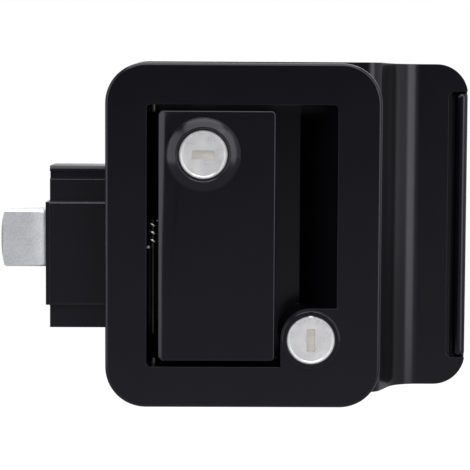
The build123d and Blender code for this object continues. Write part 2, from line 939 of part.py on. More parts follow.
rivet_near = deadbolt_front + deadbolt_rivet_start + rivet_end_gap
with BuildPart() as deadbolt_rivets:
    for offset in (-deadbolt_rivet_pitch / 2, deadbolt_rivet_pitch / 2):
        add(
            turned(
                (deadbolt_rear + deadbolt_shoulder) / 2,
                (deadbolt_top + deadbolt_bottom) / 2 + offset,
                (
                    (0, rivet_near),
                    (deadbolt_rivet_radius - screw_fit, rivet_near),
                    (deadbolt_rivet_radius - screw_fit, deadbolt_slide_back),
                    (deadbolt_rivet_radius + 0.7, deadbolt_slide_back),
                    (deadbolt_rivet_radius + 0.4, deadbolt_slide_back + deadbolt_rivet_head),
                    (0, deadbolt_slide_back + deadbolt_rivet_head),
                ),
            )
        )
deadbolt_rivets.part.label = "deadbolt_rivets"

# Slam latch bolt: flat towards the street, bevelled towards the room
with BuildPart() as latch_bolt:
    with BuildSketch(Plane.XY.offset(bolt_bottom)):
        with BuildLine():
            Polyline(
                (bolt_tip, bolt_front),
                (bolt_rear, bolt_front),
                (bolt_rear, carriage_front),
                (bolt_shoulder, carriage_front),
                (bolt_shoulder, bolt_back),
                (bolt_bevel_end, bolt_back),
                (bolt_tip, bolt_front + bolt_tip_thickness),
                close=True,
            )
        make_face()
    extrude(amount=bolt_top - bolt_bottom)
    tip_face = latch_bolt.faces().filter_by(Axis.X).sort_by(Axis.X)[0]
    fillet(tip_face.edges().filter_by(Axis.Y), bolt_tip_round)
    street_side = latch_bolt.faces().filter_by(Axis.Y).sort_by(Axis.Y)[0]
    fillet(street_side.edges().filter_by(lambda edge: edge.center().X < bolt_rear - 0.1), bolt_edge_round)
    for offset in (-latch_rivet_pitch / 2, latch_rivet_pitch / 2):
        add(
            rod((bolt_rear + bolt_shoulder) / 2, (bolt_top + bolt_bottom) / 2 + offset,
                rivet_radius, bolt_front + latch_rivet_start, bolt_back),
            mode=Mode.SUBTRACT,
        )
latch_bolt.part.label = "latch_bolt"

# Carriage behind the bolt, with one window for each paddle's arm and a rod for its spring
outer_lug = hinge_x + arm_thickness / 2 + arm_lead
window_left = hinge_x - arm_thickness / 2 - latch_travel - slot_clearance
with BuildPart() as latch_carriage:
    add(
        block(
            bolt_shoulder + 0.1,
            carriage_right,
            carriage_front,
            carriage_back,
            carriage_bottom,
            bolt_top - 1,
        )
    )
    add(
        block(
            carriage_wide_left,
            carriage_right,
            carriage_front,
            carriage_back,
            carriage_bottom,
            carriage_top,
        ),
    )
    add(
        block(window_left, outer_lug, carriage_front - 1, carriage_back + 1,
              outer_arm_low - slot_clearance, outer_arm_low + arm_height + slot_clearance),
        mode=Mode.SUBTRACT,
    )
    add(
        block(window_left, carriage_right - carriage_end_bar, carriage_front - 1, carriage_back + 1,
              inner_arm_low - slot_clearance, inner_arm_low + arm_height + slot_clearance),
        mode=Mode.SUBTRACT,
    )
    with BuildSketch(
        Plane(
            origin=(carriage_right - 1, (carriage_front + carriage_back) / 2, latch_spring_z),
            z_dir=(1, 0, 0),
        ),
    ):
        Circle(latch_rod_radius)
    extrude(amount=latch_rod_length + 1)
    for offset in (-latch_rivet_pitch / 2, latch_rivet_pitch / 2):
        add(
            rod((bolt_rear + bolt_shoulder) / 2, (bolt_top + bolt_bottom) / 2 + offset,
                rivet_radius, carriage_front - 1, carriage_back + 1),
            mode=Mode.SUBTRACT,
        )
latch_carriage.part.label = "latch_carriage"

with BuildPart() as latch_rivets:
    for offset in (-latch_rivet_pitch / 2, latch_rivet_pitch / 2):
        add(
            turned(
                (bolt_rear + bolt_shoulder) / 2,
                (bolt_top + bolt_bottom) / 2 + offset,
                (
                    (0, bolt_front + latch_rivet_start + rivet_end_gap),
                    (rivet_radius - screw_fit, bolt_front + latch_rivet_start + rivet_end_gap),
                    (rivet_radius - screw_fit, carriage_back - 0.1),
                    (0, carriage_back - 0.1),
                ),
            )
        )
latch_rivets.part.label = "latch_rivets"

# Compression spring between the carriage and the case's abutment
spring_axis_depth = (carriage_front + carriage_back) / 2
spring_seat = Plane(
    origin=(carriage_right + latch_spring_wire + 0.05, spring_axis_depth, latch_spring_z),
    z_dir=(1, 0, 0),
)
spring_wire = spring_seat.location * Helix(
    latch_spring_length / latch_spring_turns, latch_spring_length, latch_spring_radius
)
with BuildPart() as latch_spring:
    with BuildLine() as coil:
        add(spring_wire)
    with BuildSketch(Plane(origin=coil.line @ 0, z_dir=coil.line % 0)):
        Circle(latch_spring_wire)
    sweep(is_frenet=True)
latch_spring.part.label = "latch_spring"

# Latch case: stepped nose that fills the door edge, and the box that holds both slides
abutment_left = carriage_right + 2 * latch_spring_wire + 0.1 + latch_spring_length
with BuildPart() as latch_case:
    with BuildSketch(Plane.YZ.offset(nose_end)):
        with BuildLine():
            Polyline(
                (nose_upper_front, nose_top),
                (nose_upper_front, nose_groove_top),
                (nose_upper_front + nose_groove_depth, nose_groove_top - 0.3),
                (nose_upper_front + nose_groove_depth, nose_groove_bottom + 0.3),
                (nose_upper_front, nose_groove_bottom),
                (nose_upper_front, nose_step_top),
                (nose_front, nose_step_top),
                (nose_front, nose_step_bottom),
                (nose_lower_front, nose_step_bottom),
                (nose_lower_front, nose_bottom),
                (nose_back, nose_bottom),
                (nose_back, nose_top),
                close=True,
            )
        make_face()
    extrude(amount=nose_right - nose_end)
    long_edges = latch_case.edges().filter_by(Axis.X)
    front_edges = long_edges.filter_by(lambda edge: edge.center().Y < nose_upper_front + 0.1)
    fillet(front_edges.sort_by(Axis.Z)[-1], nose_top_round)
    fillet(front_edges.sort_by(Axis.Z)[-3], nose_groove_round)
    fillet(long_edges.filter_by(lambda edge: edge.center().Y < nose_front + 0.1), nose_step_round)
    add(
        block(
            nose_end - nose_end_proud,
            nose_end + 1,
            nose_front + 0.4,
            nose_back,
            nose_step_bottom + 0.2,
            nose_step_top - 0.2,
        )
    )
    with BuildSketch(at_depth(case_front)):
        with BuildLine():
            Polyline(
                (nose_right - case_wall, nose_top),
                (case_right, nose_top),
                (case_right, case_lobe_bottom),
                (case_lobe_left, case_lobe_bottom),
                (case_lobe_left, nose_bottom),
                (nose_right - case_wall, nose_bottom),
                close=True,
            )
        make_face()
    extrude(amount=case_front - case_back)
    with BuildSketch(at_depth(case_front)):
        with BuildLine():
            Polyline(
                (nose_right - case_wall, nose_top - case_wall),
                (case_right - case_wall + 0.4, nose_top - case_wall),
                (case_right - case_wall + 0.4, case_lobe_bottom + case_wall),
                (case_lobe_left + case_wall, case_lobe_bottom + case_wall),
                (case_lobe_left + case_wall, nose_bottom + case_wall),
                (nose_right - case_wall, nose_bottom + case_wall),
                close=True,
            )
        make_face()
    extrude(amount=case_front - cavity_back, mode=Mode.SUBTRACT)
    add(
        block(
            nose_end - 5,
            nose_right - case_wall,
            bolt_front - slide_clearance,
            carriage_back + slide_clearance,
            bolt_bottom - slide_clearance,
            bolt_top + slide_clearance,
        ),
        mode=Mode.SUBTRACT,
    )
    add(
        block(carriage_wide_left - 0.4, nose_right, carriage_front - slide_clearance,
              carriage_back + slide_clearance, bolt_bottom - slide_clearance, carriage_top + 0.4),
        mode=Mode.SUBTRACT,
    )
    add(
        block(nose_end - 5, nose_right, deadbolt_front - slide_clearance,
              deadbolt_slide_back + 1, deadbolt_bottom - slide_clearance, deadbolt_top + slide_clearance),
        mode=Mode.SUBTRACT,
    )
    add(
        block(abutment_left, abutment_left + abutment_thickness, carriage_front - 0.5, cavity_back + 0.5,
              latch_spring_z - latch_spring_radius - 1.5, latch_spring_z + latch_spring_radius + 1.5)
    )
    for screw_x, screw_z in cover_screw_positions:
        add(rod(screw_x, screw_z, case_boss_radius, case_front, cavity_back + 0.5))
        add(
            rod(
                screw_x,
                screw_z,
                cover_screw_radius + screw_fit,
                case_front - 1,
                case_front + cover_screw_length,
            ),
            mode=Mode.SUBTRACT,
        )
    for screw_x, screw_z in case_screw_positions:
        add(rod(screw_x, screw_z, case_screw_radius + 1.3, cavity_back - 2.4, cavity_back + 0.5))
        add(
            rod(screw_x, screw_z, case_screw_radius + screw_fit, cavity_back - 3, case_back + 1),
            mode=Mode.SUBTRACT,
        )
    add(
        block(hinge_x - arm_thickness / 2 - slot_clearance,
              hinge_x + (inner_hinge_depth - cavity_back) * tan(radians(paddle_swing)) + arm_thickness,
              cavity_back - 1, case_back + 1,
              inner_arm_low - slot_clearance, inner_arm_low + arm_height + slot_clearance),
        mode=Mode.SUBTRACT,
    )
    add(rod(drive_x, drive_z, spindle_radius + 0.3, cavity_back - 1, case_back + 1), mode=Mode.SUBTRACT)
latch_case.part.label = "latch_case"

with BuildPart() as case_cover:
    with BuildSketch(at_depth(cover_front)):
        with BuildLine():
            Polyline(
                (nose_right + 0.1, nose_top),
                (case_right, nose_top),
                (case_right, case_lobe_bottom),
                (case_lobe_left, case_lobe_bottom),
                (case_lobe_left, nose_bottom),
                (nose_right + 0.1, nose_bottom),
                close=True,
            )
        make_face()
    extrude(amount=-cover_thickness)
    add(
        block(hinge_x - arm_thickness / 2 - slot_clearance,
              hinge_x + (case_front - hinge_depth) * tan(radians(paddle_swing)) + arm_thickness,
              cover_front - 1, case_front + 1,
              outer_arm_low - slot_clearance, outer_arm_low + arm_height + slot_clearance),
        mode=Mode.SUBTRACT,
    )
    add(
        rod(drive_x, drive_z, tailpiece_width / 2 + 1.2, cover_front - 1, case_front + 1),
        mode=Mode.SUBTRACT,
    )
    for screw_x, screw_z in cover_screw_positions:
        add(
            turned(
                screw_x,
                screw_z,
                (
                    (0, cover_front),
                    (cover_screw_head_radius + screw_fit, cover_front),
                    (cover_screw_radius + screw_fit, cover_front + cover_screw_head),
                    (cover_screw_radius + screw_fit, case_front),
                    (0, case_front),
                ),
            ),
            mode=Mode.SUBTRACT,
        )
case_cover.part.label = "case_cover"

# Room-side plate: housing with the same recess, S-bend, pull wing and finger groove
plate_left = -plate_width / 2
wing_face = door_thickness + wing_gap
housing_reach = inner_plate_right + wing_inner_curve + wing_outer_curve
with BuildPart() as housing_hollow:
    with BuildSketch(at_depth(door_thickness - 1)) as hollow:
        with Locations((plate_left + inner_plate_wall, 0)):
            Rectangle(
                housing_reach - plate_left - inner_plate_wall,
                inner_plate_height - 2 * inner_plate_wall,
                align=(Align.MIN, Align.CENTER),
            )
        fillet(hollow.vertices(), inner_plate_corner - inner_plate_wall)
    extrude(amount=door_thickness - 1 - room_face + inner_plate_wall)
    add(behind_wing(inner_plate_wall), mode=Mode.SUBTRACT)
    add(
        block(inner_plate_right - inner_plate_wall, wing_right, door_thickness - 2,
              door_thickness + inner_plate_wall, -inner_plate_height, inner_plate_height),
        mode=Mode.SUBTRACT,
    )

# Finger groove of the pull wing, and the rounded bead that borders it along the wing's edge
groove_slope_start = groove_left + 0.3 + groove_floor_width
with BuildPart() as groove_hollow:
    with BuildSketch(Plane.XY.offset(-groove_half_length)):
        with BuildLine():
            Polyline(
                (groove_left, wing_face - 1),
                (groove_left + 0.3, wing_face + groove_depth),
                (groove_slope_start, wing_face + groove_depth),
                (groove_slope_start + groove_slope_width, wing_face + groove_step_depth),
                (wing_right + 1, wing_face + groove_step_depth),
                (wing_right + 1, wing_face - 1),
                close=True,
            )
        make_face()
    extrude(amount=2 * groove_half_length)
    with BuildSketch(at_depth(wing_face - 2)):
        with Locations((groove_left, 0)):
            RectangleRounded(
                2 * (wing_right - groove_left),
                2 * groove_half_length,
                groove_end_round,
                align=(Align.MIN, Align.CENTER),
            )
    extrude(amount=-inner_plate_wall - 5, mode=Mode.INTERSECT)

bead_x = wing_right - bead_radius + bead_trim
bead_depth = wing_face + bead_setback + bead_radius
bead_half_length = groove_half_length - bead_radius
with BuildPart() as groove_bead:
    with BuildSketch(Plane.XY.offset(-bead_half_length)):
        with Locations((bead_x, bead_depth)):
            Circle(bead_radius)
    extrude(amount=2 * bead_half_length)
    with Locations((bead_x, bead_depth, -bead_half_length), (bead_x, bead_depth, bead_half_length)):
        Sphere(bead_radius)
    add(
        block(
            bead_x - 2 * bead_radius,
            wing_right,
            wing_face,
            bead_depth,
            -groove_half_length,
            groove_half_length,
        ),
        mode=Mode.INTERSECT,
    )

with BuildPart() as inner_plate:
    with BuildSketch(at_depth(door_thickness)) as outline:
        with Locations(((plate_left + wing_right) / 2, 0)):
            Rectangle(wing_right - plate_left, inner_plate_height)
        fillet(outline.vertices().group_by(Axis.X)[0], inner_plate_corner)
        fillet(outline.vertices().sort_by(Axis.X)[-2:], wing_corner)
    extrude(amount=door_thickness - room_face)
    fillet(inner_plate.faces().sort_by(Axis.Y)[-1].edges(), inner_edge_round)
    add(behind_wing(0), mode=Mode.SUBTRACT)
    add(housing_hollow.part, mode=Mode.SUBTRACT)
    mirror(recess_form(recess_wall, street_face + 0.5, floor_back), about=room_mirror())
    mirror(recess_form(0, street_face - 1, floor_face), about=room_mirror(), mode=Mode.SUBTRACT)
    mirror(web_form(), about=room_mirror())
    add(rod(drive_x, drive_z, spindle_bush_radius, door_thickness, room_face - 1))
    add(
        rod(drive_x, drive_z, spindle_radius + pin_clearance, door_thickness - 1, room_face + 1),
        mode=Mode.SUBTRACT,
    )
    for screw_x, screw_z in post_positions:
        add(
            rod(screw_x, screw_z, mount_screw_radius + 0.2, door_thickness - 1, inner_floor_face + 1),
            mode=Mode.SUBTRACT,
        )
    for screw_x, screw_z in case_screw_positions:
        add(
            rod(screw_x, screw_z, case_screw_radius + 0.2, door_thickness - 1, inner_floor_face + 1),
            mode=Mode.SUBTRACT,
        )
    add(
        block(hinge_x - arm_thickness / 2 - slot_clearance,
              hinge_x + (inner_hinge_depth - door_thickness) * tan(radians(paddle_swing)) + arm_thickness,
              door_thickness - 1, inner_floor_face + 1,
              inner_arm_low - slot_clearance, inner_arm_low + arm_height + slot_clearance),
        mode=Mode.SUBTRACT,
    )
    with BuildSketch(Plane.XY.offset(recess_bottom - recess_wall - 1)):
        with Locations((hinge_x, inner_hinge_depth)):
            Circle(pin_radius + pin_clearance)
    extrude(amount=recess_height + 2 * recess_wall + 2, mode=Mode.SUBTRACT)
    add(groove_hollow.part, mode=Mode.SUBTRACT)
    add(groove_bead.part)
inner_plate.part.label = "inner_plate"

# Room-side paddle with its pin and spring
with BuildPart() as inner_paddle:
    mirror(paddle_form(inner_barrel_low), about=room_mirror())
inner_paddle.part.label = "inner_paddle"

with BuildPart() as inner_hinge_pin:
    mirror(hinge_pin_form(), about=room_mirror())
inner_hinge_pin.part.label = "inner_hinge_pin"

with BuildPart() as inner_paddle_spring:
    mirror(return_spring_form(inner_spring_z), about=room_mirror())
inner_paddle_spring.part.label = "inner_paddle_spring"

# Thumb turn and the spindle that joins it to the crank
thumb_face = room_face + thumb_gap
with BuildPart() as thumb_turn:
    add(
        turned(
            drive_x,
            drive_z,
            (
                (0, thumb_face),
                (thumb_base_radius, thumb_face),
                (thumb_base_radius, thumb_face + thumb_base_thickness - 0.8),
                (thumb_base_radius - 0.8, thumb_face + thumb_base_thickness),
                (0, thumb_face + thumb_base_thickness),
            ),
        )
    )
    with BuildSketch(at_depth(thumb_face + thumb_base_thickness - 0.5)):
        with Locations((drive_x, drive_z)):
            SlotOverall(thumb_grip_length, thumb_grip_width, rotation=90)
    extrude(amount=-(thumb_grip_height + 0.5), taper=4)
    fillet(thumb_turn.faces().sort_by(Axis.Y)[-1].edges(), 1.0)
    add(
        rod(drive_x, drive_z, thumb_bore_radius, thumb_face - 1, thumb_face + thumb_bore_depth),
        mode=Mode.SUBTRACT,
    )
thumb_turn.part.label = "thumb_turn"

with BuildPart() as thumb_turn_spindle:
    add(
        block(drive_x - socket_side / 2, drive_x + socket_side / 2,
              crank_near + crank_plate + 0.6, door_thickness + 1,
              drive_z - socket_side / 2, drive_z + socket_side / 2)
    )
    add(rod(drive_x, drive_z, spindle_radius, case_back - case_wall + 0.2, room_face + 0.1))
    add(
        rod(
            drive_x,
            drive_z,
            thumb_bore_radius - screw_fit,
            room_face,
            thumb_face + thumb_bore_depth - 0.2,
        ),
    )
thumb_turn_spindle.part.label = "thumb_turn_spindle"

# Screws: four clamp the two plates on the door, three hold the case, four hold its cover
with BuildPart() as mounting_screws:
    for screw_x, screw_z in post_positions:
        add(
            turned(
                screw_x,
                screw_z,
                (
                    (0, inner_floor_face - mount_screw_length),
                    (mount_screw_radius, inner_floor_face - mount_screw_length),
                    (mount_screw_radius, inner_floor_face),
                    (mount_screw_head_radius, inner_floor_face),
                    (mount_screw_head_radius, inner_floor_face + mount_screw_head - 0.9),
                    (mount_screw_head_radius - 1.2, inner_floor_face + mount_screw_head),
                    (0, inner_floor_face + mount_screw_head),
                ),
            )
        )
mounting_screws.part.label = "mounting_screws"

with BuildPart() as case_screws:
    for screw_x, screw_z in case_screw_positions:
        add(
            turned(
                screw_x,
                screw_z,
                (
                    (0, inner_floor_face - case_screw_length),
                    (case_screw_radius, inner_floor_face - case_screw_length),
                    (case_screw_radius, inner_floor_face),
                    (case_screw_head_radius, inner_floor_face),
                    (case_screw_head_radius - 0.8, inner_floor_face + case_screw_head),
                    (0, inner_floor_face + case_screw_head),
                ),
            )
        )
case_screws.part.label = "case_screws"

with BuildPart() as cover_screws:
    for screw_x, screw_z in cover_screw_positions:
        add(
            turned(
                screw_x,
                screw_z,
                (
                    (0, cover_front),
                    (cover_screw_head_radius, cover_front),
                    (cover_screw_radius, cover_front + cover_screw_head),
                    (cover_screw_radius, case_front + cover_screw_length - 0.5),
                    (0, case_front + cover_screw_length - 0.5),
                ),
            )
        )
cover_screws.part.label = "cover_screws"

pieces = (
    outer_bezel, outer_paddle, outer_hinge_pin, outer_paddle_spring,
    paddle_lock_sleeve, paddle_lock_plug, paddle_key_shutter, paddle_lock_clip, paddle_lock_cam, paddle_cam_screw,
    deadbolt_lock_sleeve, deadbolt_lock_plug, deadbolt_key_shutter, deadbolt_lock_clip, deadbolt_tailpiece,
    deadbolt_crank, deadbolt, deadbolt_slide, deadbolt_rivets,
    latch_bolt, latch_carriage, latch_rivets, latch_spring, latch_case, case_cover,
    inner_plate, inner_paddle, inner_hinge_pin, inner_paddle_spring, thumb_turn, thumb_turn_spindle,
    mounting_screws, case_screws, cover_screws,
)
os.makedirs("parts", exist_ok=True)
for piece in pieces:
    export_step(piece.part, f"parts/{piece.part.label}.step")
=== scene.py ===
from math import hypot, pi, radians

import bpy
from mathutils import Euler, Matrix, Vector


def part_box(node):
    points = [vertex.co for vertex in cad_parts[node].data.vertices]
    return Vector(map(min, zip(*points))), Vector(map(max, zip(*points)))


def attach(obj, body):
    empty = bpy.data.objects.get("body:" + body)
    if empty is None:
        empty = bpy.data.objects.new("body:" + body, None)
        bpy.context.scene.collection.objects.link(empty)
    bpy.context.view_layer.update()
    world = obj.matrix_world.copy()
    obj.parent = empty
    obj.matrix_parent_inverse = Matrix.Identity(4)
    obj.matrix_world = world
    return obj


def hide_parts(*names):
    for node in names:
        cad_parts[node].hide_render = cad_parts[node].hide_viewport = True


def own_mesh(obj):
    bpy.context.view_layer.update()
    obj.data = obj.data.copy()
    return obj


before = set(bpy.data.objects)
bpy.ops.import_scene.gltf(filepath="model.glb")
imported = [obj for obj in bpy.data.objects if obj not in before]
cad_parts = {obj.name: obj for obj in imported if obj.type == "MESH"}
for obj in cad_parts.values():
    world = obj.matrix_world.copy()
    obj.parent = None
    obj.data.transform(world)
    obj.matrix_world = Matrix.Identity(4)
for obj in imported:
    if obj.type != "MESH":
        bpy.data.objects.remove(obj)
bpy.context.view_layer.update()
bpy.ops.object.select_all(action="DESELECT")


# Latch case. It is a zinc die casting with a stepped nose that fills the door's edge, and a flat box
# between the two recesses. It has the same satin black powder coat as the plates, a little rougher.
class Shade:
    """A socket of a material, so that sums and products of sockets can be written as expressions."""

    def __init__(self, tree, socket=None):
        self.tree = tree
        self.socket = socket

    def node(self, kind, settings=None, sockets=None, output=0):
        """A new node with its settings and its sockets' values or links; returns one of its outputs."""
        made = self.tree.nodes.new(kind)
        for name, value in (settings or {}).items():
            setattr(made, name, value)
        for name, value in (sockets or {}).items():
            if isinstance(value, Shade):
                self.tree.links.new(value.socket, made.inputs[name])
            else:
                made.inputs[name].default_value = value
        return Shade(self.tree, made.outputs[output])

    def math(self, operation, *values):
        return self.node("ShaderNodeMath", {"operation": operation}, dict(enumerate(values)))

    def __add__(self, other):
        return self.math("ADD", self, other)

    def __radd__(self, other):
        return self.math("ADD", other, self)

    def __sub__(self, other):
        return self.math("SUBTRACT", self, other)

    def __rsub__(self, other):
        return self.math("SUBTRACT", other, self)

    def __mul__(self, other):
        return self.math("MULTIPLY", self, other)

    def __rmul__(self, other):
        return self.math("MULTIPLY", other, self)

    def wave(self):
        return self.math("SINE", self)

    def between(self, low, high):
        """0 below low, 1 above high, smooth in between."""
        return self.node(
            "ShaderNodeMapRange",
            {"interpolation_type": "SMOOTHSTEP"},
            {"Value": self, "From Min": low, "From Max": high},
        )

    def tint(self, low, high):
        """Mix of two colours by this value."""
        return self.node("ShaderNodeMix", {"data_type": "RGBA"}, {0: self, 6: low, 7: high}, output=2)

    def place(self):
        return self.node("ShaderNodeTexCoord", output="Object")

    def noise(self, scale, detail=2.0, stretch=(1, 1, 1), roughness=0.5):
        where = self.node("ShaderNodeMapping", None, {"Vector": self.place(), "Scale": stretch})
        return self.node(
            "ShaderNodeTexNoise",
            None,
            {"Vector": where, "Scale": scale, "Detail": detail, "Roughness": roughness},
        )

    def vector(self, operation, *values, output="Vector"):
        return self.node(
            "ShaderNodeVectorMath", {"operation": operation}, dict(enumerate(values)), output
        )


def new_material(name, **constants):
    """A material with one Principled shader; returns it with its tree's Shade and its shader."""
    material = bpy.data.materials.new(name)
    material.use_nodes = True
    shader = material.node_tree.nodes["Principled BSDF"]
    for socket, value in constants.items():
        shader.inputs[socket.replace("_", " ")].default_value = value
    return material, Shade(material.node_tree), shader


def surface(material, shader, colour, gloss, height, strength, depth, normal=None):
    """Links a colour, a roughness and a bump of a given depth in metres to a material's shader."""
    relief = Shade(material.node_tree).node(
        "ShaderNodeBump", None, {"Height": height, "Strength": strength, "Distance": depth}
    )
    links = material.node_tree.links
    if normal:
        links.new(normal.socket, relief.socket.node.inputs["Normal"])
    links.new(colour.socket, shader.inputs["Base Color"])
    links.new(gloss.socket, shader.inputs["Roughness"])
    links.new(relief.socket, shader.inputs["Normal"])


coat_tone = (0.0030, 0.0028, 0.0042)
thin_coat_tone = tuple(0.8 * channel for channel in coat_tone)


def powder_coat(name, roughness, edge):
    """Satin black powder: even, with a faint orange peel, and rounded over edges by a given radius."""
    material, shade, shader = new_material(
        name, IOR=1.5, Specular_IOR_Level=0.37, Specular_Tint=(0.91, 0.885, 1.0, 1)
    )
    colour = shade.noise(60, 3).between(0.35, 0.7).tint(thin_coat_tone + (1,), coat_tone + (1,))
    gloss = shade.noise(420, 2) * 0.05 + (roughness - 0.025)
    peel = shade.noise(900, 2)
    rounded = shade.node("ShaderNodeBevel", {"samples": 8}, {"Radius": edge})
    surface(material, shader, colour, gloss, peel, 0.1, 0.00002, rounded)
    return material


def dress(material, *names):
    """Gives a finish to the frame's nodes."""
    for name in names:
        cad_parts[name].material_slots[0].material = material


case_coat = powder_coat("case_coat", 0.28, 0.0002)
dress(case_coat, "latch_case", "case_cover")


# Latch bolt, carriage and rivets. The bolt is a bright zinc-plated casting with a grained face, flat to
# the street and bevelled to the room, and its end is bowed with round corners. The carriage is plated
# steel, riveted to the bolt and hidden in the case.
def plated(name, colour, roughness, along, scale=900, metal=1.0, grain=0.25):
    """Plated metal with fine marks, drawn out along an axis if one is named, and a soft cloudiness."""
    material, shade, shader = new_material(name, Metallic=metal)
    cloud = shade.noise(150, 5, (1, 1, 1), 0.7).between(0.3, 0.7)
    stretch = tuple(0.04 if axis == along else 1.0 for axis in "XYZ")
    lines = shade.noise(scale, 3, stretch, 0.6)
    dull = tuple(0.84 * channel for channel in colour)
    mottle = cloud * (1 - grain) + lines.between(0.38, 0.62) * grain
    gloss = lines * 0.12 + cloud * 0.06 + (roughness - 0.09)
    surface(material, shader, mottle.tint(dull + (1,), colour + (1,)), gloss, lines, 0.2, 0.00002)
    return material


def select_only(obj):
    """Makes an object the only selected one, and the active one."""
    bpy.ops.object.select_all(action="DESELECT")
    bpy.context.view_layer.objects.active = obj
    obj.select_set(True)


def select_none(kind):
    """Clears the active mesh's selection and sets what is selected next: VERT, EDGE or FACE."""
    bpy.ops.object.mode_set(mode="EDIT")
    bpy.ops.mesh.select_mode(type=kind)
    bpy.ops.mesh.select_all(action="DESELECT")
    bpy.ops.object.mode_set(mode="OBJECT")


def merged_copy(node, name):
    """Copy of a node's solid with its doubled points merged, selected and active."""
    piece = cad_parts[node].copy()
    piece.data = piece.data.copy()
    piece.name = name
    bpy.context.collection.objects.link(piece)
    select_only(piece)
    bpy.ops.object.mode_set(mode="EDIT")
    bpy.ops.mesh.select_all(action="SELECT")
    bpy.ops.mesh.remove_doubles(threshold=0.000001)
    bpy.ops.object.mode_set(mode="OBJECT")
    select_none("VERT")
    return piece


def boolean(piece, operation, form):
    """Cuts a piece by a form, or trims it to the form, and removes the form."""
    select_only(piece)
    trim = piece.modifiers.new("trim", "BOOLEAN")
    trim.operation = operation
    trim.object = form
    bpy.ops.object.modifier_apply(modifier="trim")
    bpy.data.objects.remove(form)


bolt_low, bolt_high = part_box("latch_bolt")
bolt_middle_y = (bolt_low[1] + bolt_high[1]) / 2
bolt_middle_z = (bolt_low[2] + bolt_high[2]) / 2
bow_radius = 0.040
corner_radius = 0.0027
form_length = 0.04
form_depth = 0.06
form_margin = 0.0001
bow_middle = (bolt_low[0] + bow_radius, bolt_middle_y, bolt_middle_z)
bpy.ops.mesh.primitive_cylinder_add(
    vertices=240, radius=bow_radius, depth=form_depth, location=bow_middle, rotation=(pi / 2, 0, 0)
)
bow_form = bpy.context.object
bpy.ops.object.transform_apply(location=True, rotation=True, scale=True)
corner_middle = (bolt_low[0] - form_margin + form_length / 2, bolt_middle_y, bolt_middle_z)
bpy.ops.mesh.primitive_cube_add(size=1, location=corner_middle)
corner_form = bpy.context.object
corner_form.scale = (form_length, form_depth, bolt_high[2] - bolt_low[2] + form_margin)
bpy.ops.object.transform_apply(location=True, rotation=True, scale=True)
select_none("EDGE")
for edge in corner_form.data.edges:
    start, end = (corner_form.data.vertices[index].co for index in edge.vertices)
    edge.select = max(start.x, end.x) < bolt_low[0] and abs(start.z - end.z) < form_margin
bpy.ops.object.mode_set(mode="EDIT")
bpy.ops.mesh.bevel(offset=corner_radius, offset_type="OFFSET", segments=10, affect="EDGES")
bpy.ops.object.mode_set(mode="OBJECT")
bolt = merged_copy("latch_bolt", "latch_bolt_head")
boolean(bolt, "INTERSECT", bow_form)
boolean(bolt, "INTERSECT", corner_form)
bpy.ops.object.shade_smooth_by_angle(angle=radians(25))
bolt_plate = plated("bolt_plate", (0.83, 0.84, 0.88), 0.42, "", 1500, grain=0.8)
bolt.data.materials.clear()
bolt.data.materials.append(bolt_plate)
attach(bolt, "latch")
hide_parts("latch_bolt")
zinc_steel = plated("zinc_steel", (0.52, 0.52, 0.52), 0.36, "X")
dress(zinc_steel, "latch_carriage", "latch_rivets")


# Latch spring. Bright compression wire, wound in nine turns, on the carriage's rod and against the
# case's abutment; the latch presses it together as it goes in.
spring_low, spring_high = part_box("latch_spring")
wire_radius = 0.0004
turns = 9
spring_start = spring_low[0] + wire_radius
spring_end = spring_high[0] - wire_radius
spring_y = (spring_low[1] + spring_high[1]) / 2
spring_z = (spring_low[2] + spring_high[2]) / 2
coil_radius = (spring_high[2] - spring_low[2]) / 2 - wire_radius
bpy.ops.mesh.primitive_circle_add(
    vertices=12, radius=wire_radius, location=(0, 0, coil_radius), rotation=(pi / 2, 0, 0)
)
spring = bpy.context.object
spring.name = "latch_spring_coil"
bpy.ops.object.transform_apply(location=True, rotation=True, scale=True)
winding = spring.modifiers.new("winding", "SCREW")
winding.axis = "X"
winding.angle = 2 * pi
winding.iterations = turns
winding.screw_offset = (spring_end - spring_start) / turns
winding.steps = winding.render_steps = 28
bpy.ops.object.modifier_apply(modifier="winding")
bpy.ops.object.mode_set(mode="EDIT")
bpy.ops.mesh.select_all(action="SELECT")
bpy.ops.mesh.remove_doubles(threshold=0.000001)
bpy.ops.mesh.fill_holes(sides=12)
bpy.ops.mesh.normals_make_consistent(inside=False)
bpy.ops.object.mode_set(mode="OBJECT")
spring.location = (spring_start, spring_y, spring_z)
bpy.ops.object.transform_apply(location=True, rotation=True, scale=True)
bpy.ops.object.shade_smooth_by_angle(angle=radians(40))
spring_wire = plated("spring_wire", (0.66, 0.67, 0.68), 0.25, "Y")
spring.data.materials.append(spring_wire)
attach(spring, "housing")
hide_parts("latch_spring")
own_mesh(spring)


# Deadbolt. A solid plated casting below the latch bolt, riveted to a slotted steel slide. The pin of
# the crank, which the lower key and the thumb turn share, moves the slide.
dress(bolt_plate, "deadbolt")
dress(zinc_steel, "deadbolt_slide", "deadbolt_rivets", "deadbolt_crank")


# Cover of the case. A flat steel sheet that closes the case to the street, coated with the case and
# held by four countersunk screws of plain plated steel.
screw_plate = plated("screw_plate", (0.48, 0.48, 0.48), 0.33, "Z")
dress(screw_plate, "cover_screws")


# Street-side plate. A zinc die casting with the recess, the ramp and the boss of the lower key
# cylinder, powder coated; its flange lies on the door's skin.
plate_coat = powder_coat("plate_coat", 0.20, 0.00025)
dress(plate_coat, "outer_bezel")


# Pull paddle. The same casting and coat, on a steel pin with a torsion spring. Its hinge edge has a
# flat bevel, and a shallow cone rises round the key cylinder.
hinge_edge = -0.0293
near = 0.0001


